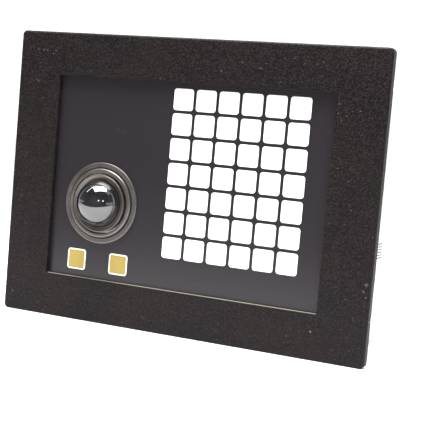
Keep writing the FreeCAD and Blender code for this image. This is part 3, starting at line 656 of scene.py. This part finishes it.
def make_studs(material):
    """Eight M4 threaded studs in the bezel's back."""
    bm = bmesh.new()
    end_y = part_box("mounting_studs")[1].y
    for x in STUD_XS:
        for sx in (-1, 1):
            for sz in (-1, 1):
                add_thread(bm, sx * x * MM, sz * STUD_Z * MM, STUD_START, end_y, STUD_R, STUD_THREAD_PITCH)
    return finish_piece("studs", bm, material, "panel", ("mounting_studs",), 25.0)


def dress_cad_nodes(materials):
    """Give every CAD node that stays its own material."""
    for name, material in materials.items():
        node = NODES[name]
        for slot in node.material_slots:
            slot.material = material


def make_stage():
    """Pale floor under the bezel's lower edge."""
    bm = bmesh.new()
    bmesh.ops.create_circle(bm, cap_ends=True, radius=6.0, segments=64)
    mesh = bpy.data.meshes.new("floor")
    bm.to_mesh(mesh)
    bm.free()
    floor = bpy.data.objects.new("floor", mesh)
    floor.location = (0, 0, BEZEL_LOW.z - 0.2 * MM)
    bpy.context.scene.collection.objects.link(floor)
    material, tree, shader = make_material("floor_paper", (0.82, 0.82, 0.82), 0.7)
    at = position(tree)
    tone = ramp(tree, noise_of(tree, at, 3, 2), 0.3, 0.7)
    put(tree, shader.inputs["Base Color"], mix(tree, tone, (0.83, 0.83, 0.83), (0.81, 0.81, 0.81)))
    mesh.materials.append(material)


def add_card(name, size, location, aim, tone, shades=True):
    """Dark card that darkens reflections and isn't seen itself; shades says if it also blocks light."""
    bm = bmesh.new()
    bmesh.ops.create_grid(bm, x_segments=1, y_segments=1, size=0.5)
    mesh = bpy.data.meshes.new(name)
    bm.to_mesh(mesh)
    bm.free()
    material, _, _ = make_material(name + "_cloth", (tone, tone, tone), 0.9)
    mesh.materials.append(material)
    card = bpy.data.objects.new(name, mesh)
    card.scale = (size[0], size[1], 1.0)
    card.location = location
    card.rotation_euler = (Vector(aim) - Vector(location)).to_track_quat("Z", "Y").to_euler()
    card.visible_camera = False
    card.visible_shadow = shades
    card.visible_diffuse = shades
    bpy.context.scene.collection.objects.link(card)


def add_area(name, size, power, location, aim, tint=(1.0, 1.0, 1.0)):
    """Rectangular area light aimed at a point."""
    data = bpy.data.lights.new(name, "AREA")
    data.shape = "RECTANGLE"
    data.size = size[0]
    data.size_y = size[1]
    data.energy = power
    data.color = tint
    lamp = bpy.data.objects.new(name, data)
    lamp.location = location
    lamp.rotation_euler = (Vector(aim) - Vector(location)).to_track_quat("-Z", "Y").to_euler()
    bpy.context.scene.collection.objects.link(lamp)
    return lamp


def add_strip(name, start, end, width, power):
    """Long thin area light between two points, facing the ball."""
    start = Vector(start)
    along = Vector(end) - start
    lamp = add_area(name, (along.length, width), power, start + along / 2, BALL_CENTRE)
    across = along.normalized()
    away = lamp.location - BALL_CENTRE
    away = (away - across * away.dot(across)).normalized()
    lamp.rotation_euler = Matrix((across, away.cross(across), away)).transposed().to_euler()
    return lamp


def make_lights():
    """Overhead softbox and a fill over a pale table in a dark room, tubes and small lamps round it."""
    world = bpy.data.worlds.new("surround")
    bpy.context.scene.world = world
    world.use_nodes = True
    world.node_tree.nodes["Background"].inputs[0].default_value = (1.0, 1.0, 1.0, 1.0)
    world.node_tree.nodes["Background"].inputs[1].default_value = 1.3
    overhead = add_area("overhead", (1.0, 0.55), 48.0, (-0.03, -0.28, 1.05), (0.0, 0.0, 0.0))
    overhead.rotation_euler = (0.0, 0.0, math.radians(34))
    fill = add_area("right_fill", (0.8, 0.6), 8.0, (1.0, -0.9, 0.7), (0.0, 0.0, 0.0))
    fill.visible_glossy = False
    add_strip("tube_left", (-0.97, -0.42, 0.67), (-0.40, -0.06, 1.12), 0.06, 1.8)
    add_strip("tube_top", (0.45, 0.09, 1.06), (0.72, 0.15, 0.87), 0.05, 0.6)
    add_strip("tube_right", (1.06, 0.08, 0.36), (0.72, 0.80, 0.38), 0.06, 1.8)
    add_area("lamp_a", (0.08, 0.08), 0.2, (0.177, -0.685, 0.175), BALL_CENTRE)
    add_area("lamp_b", (0.08, 0.08), 0.2, (0.403, -0.551, 0.178), BALL_CENTRE)
    floor_z = BEZEL_LOW.z
    add_card("wall_front", (5.0, 2.4), (0.0, -1.7, floor_z + 1.2), (0.0, 0.0, floor_z + 1.2), 0.12)
    add_card("wall_left", (2.4, 2.0), (-1.7, -1.1, floor_z + 1.2), (0.0, -1.1, floor_z + 1.2), 0.12)
    add_card("wall_right", (2.4, 1.6), (1.9, -1.1, floor_z + 1.2), (0.0, -1.1, floor_z + 1.2), 0.12)
    add_card("ceiling", (5.0, 1.3), (0.0, -1.15, 1.7), (0.0, -1.15, 0.0), 0.12)
    add_card("table_cloth", (5.0, 1.6), (0.0, -1.11, floor_z + 2 * MM), (0.0, -1.11, 1.0), 0.04,
             shades=False)


def make_camera():
    """Camera in front, to the right and slightly above, rolled a little."""
    azimuth = math.radians(24.21)
    elevation = math.radians(4.566)
    roll = math.radians(4.898)
    back = Vector((math.sin(azimuth) * math.cos(elevation), -math.cos(azimuth) * math.cos(elevation),
                   math.sin(elevation)))
    level = Vector((math.cos(azimuth), math.sin(azimuth), 0.0))
    right = level * math.cos(roll) + back.cross(level) * math.sin(roll)
    up = back.cross(right)
    data = bpy.data.cameras.new("camera")
    data.sensor_width = 36.0
    data.lens = 89.33
    camera = bpy.data.objects.new("camera", data)
    turn = Matrix((right, up, back)).transposed().to_4x4()
    camera.matrix_world = Matrix.Translation((0.35756, -0.73732, 0.04686)) @ turn
    bpy.context.scene.collection.objects.link(camera)
    bpy.context.scene.camera = camera


def main():
    make_camera()
    make_stage()
    make_lights()
    scene = bpy.context.scene
    scene.view_settings.view_transform = "Standard"
    make_bezel(bezel_material())
    make_flange(ring_material("turned_ring", 900.0, (0.138, 0.126, 0.118)))
    make_retaining_ring(ring_material("turned_lip", 700.0, (0.138, 0.123, 0.115)))
    make_ball(ball_material())
    zinc = metal_material("zinc_steel", (0.62, 0.62, 0.6), 0.32, (1.0, 1.0, 1.0))
    make_studs(zinc)
    white = white_key_material()
    black_plastic = plastic_material("cup_plastic", (0.03, 0.03, 0.032), 0.5)
    board = board_material("circuit_board", HOUSING_HIGH.y)
    materials = {
        "overlay_film": film_material(),
        "front_plate": metal_material("plate_metal", (0.66, 0.66, 0.66), 0.35, (0.05, 1.0, 1.0)),
        "key_board": board,
        "trackball_board": board,
        "interface_board": board_material("interface_board", IO_SHELL_Y),
        "trackball_cup": black_plastic,
        "rear_housing": paint_material(),
        "machine_screws": zinc,
        "ball_core": metal_material("core_steel", (0.55, 0.55, 0.55), 0.25, (1.0, 1.0, 0.1)),
        "encoder_roller_x": plastic_material("roller_plastic", (0.4, 0.39, 0.36), 0.45),
        "encoder_roller_z": plastic_material("roller_plastic_z", (0.4, 0.39, 0.36), 0.45),
    }
    for name in NODES:
        if name.startswith("key_r"):
            materials[name] = white
        if name.startswith("amber_key"):
            materials[name] = amber_key_material(name)
    dress_cad_nodes(materials)


main()
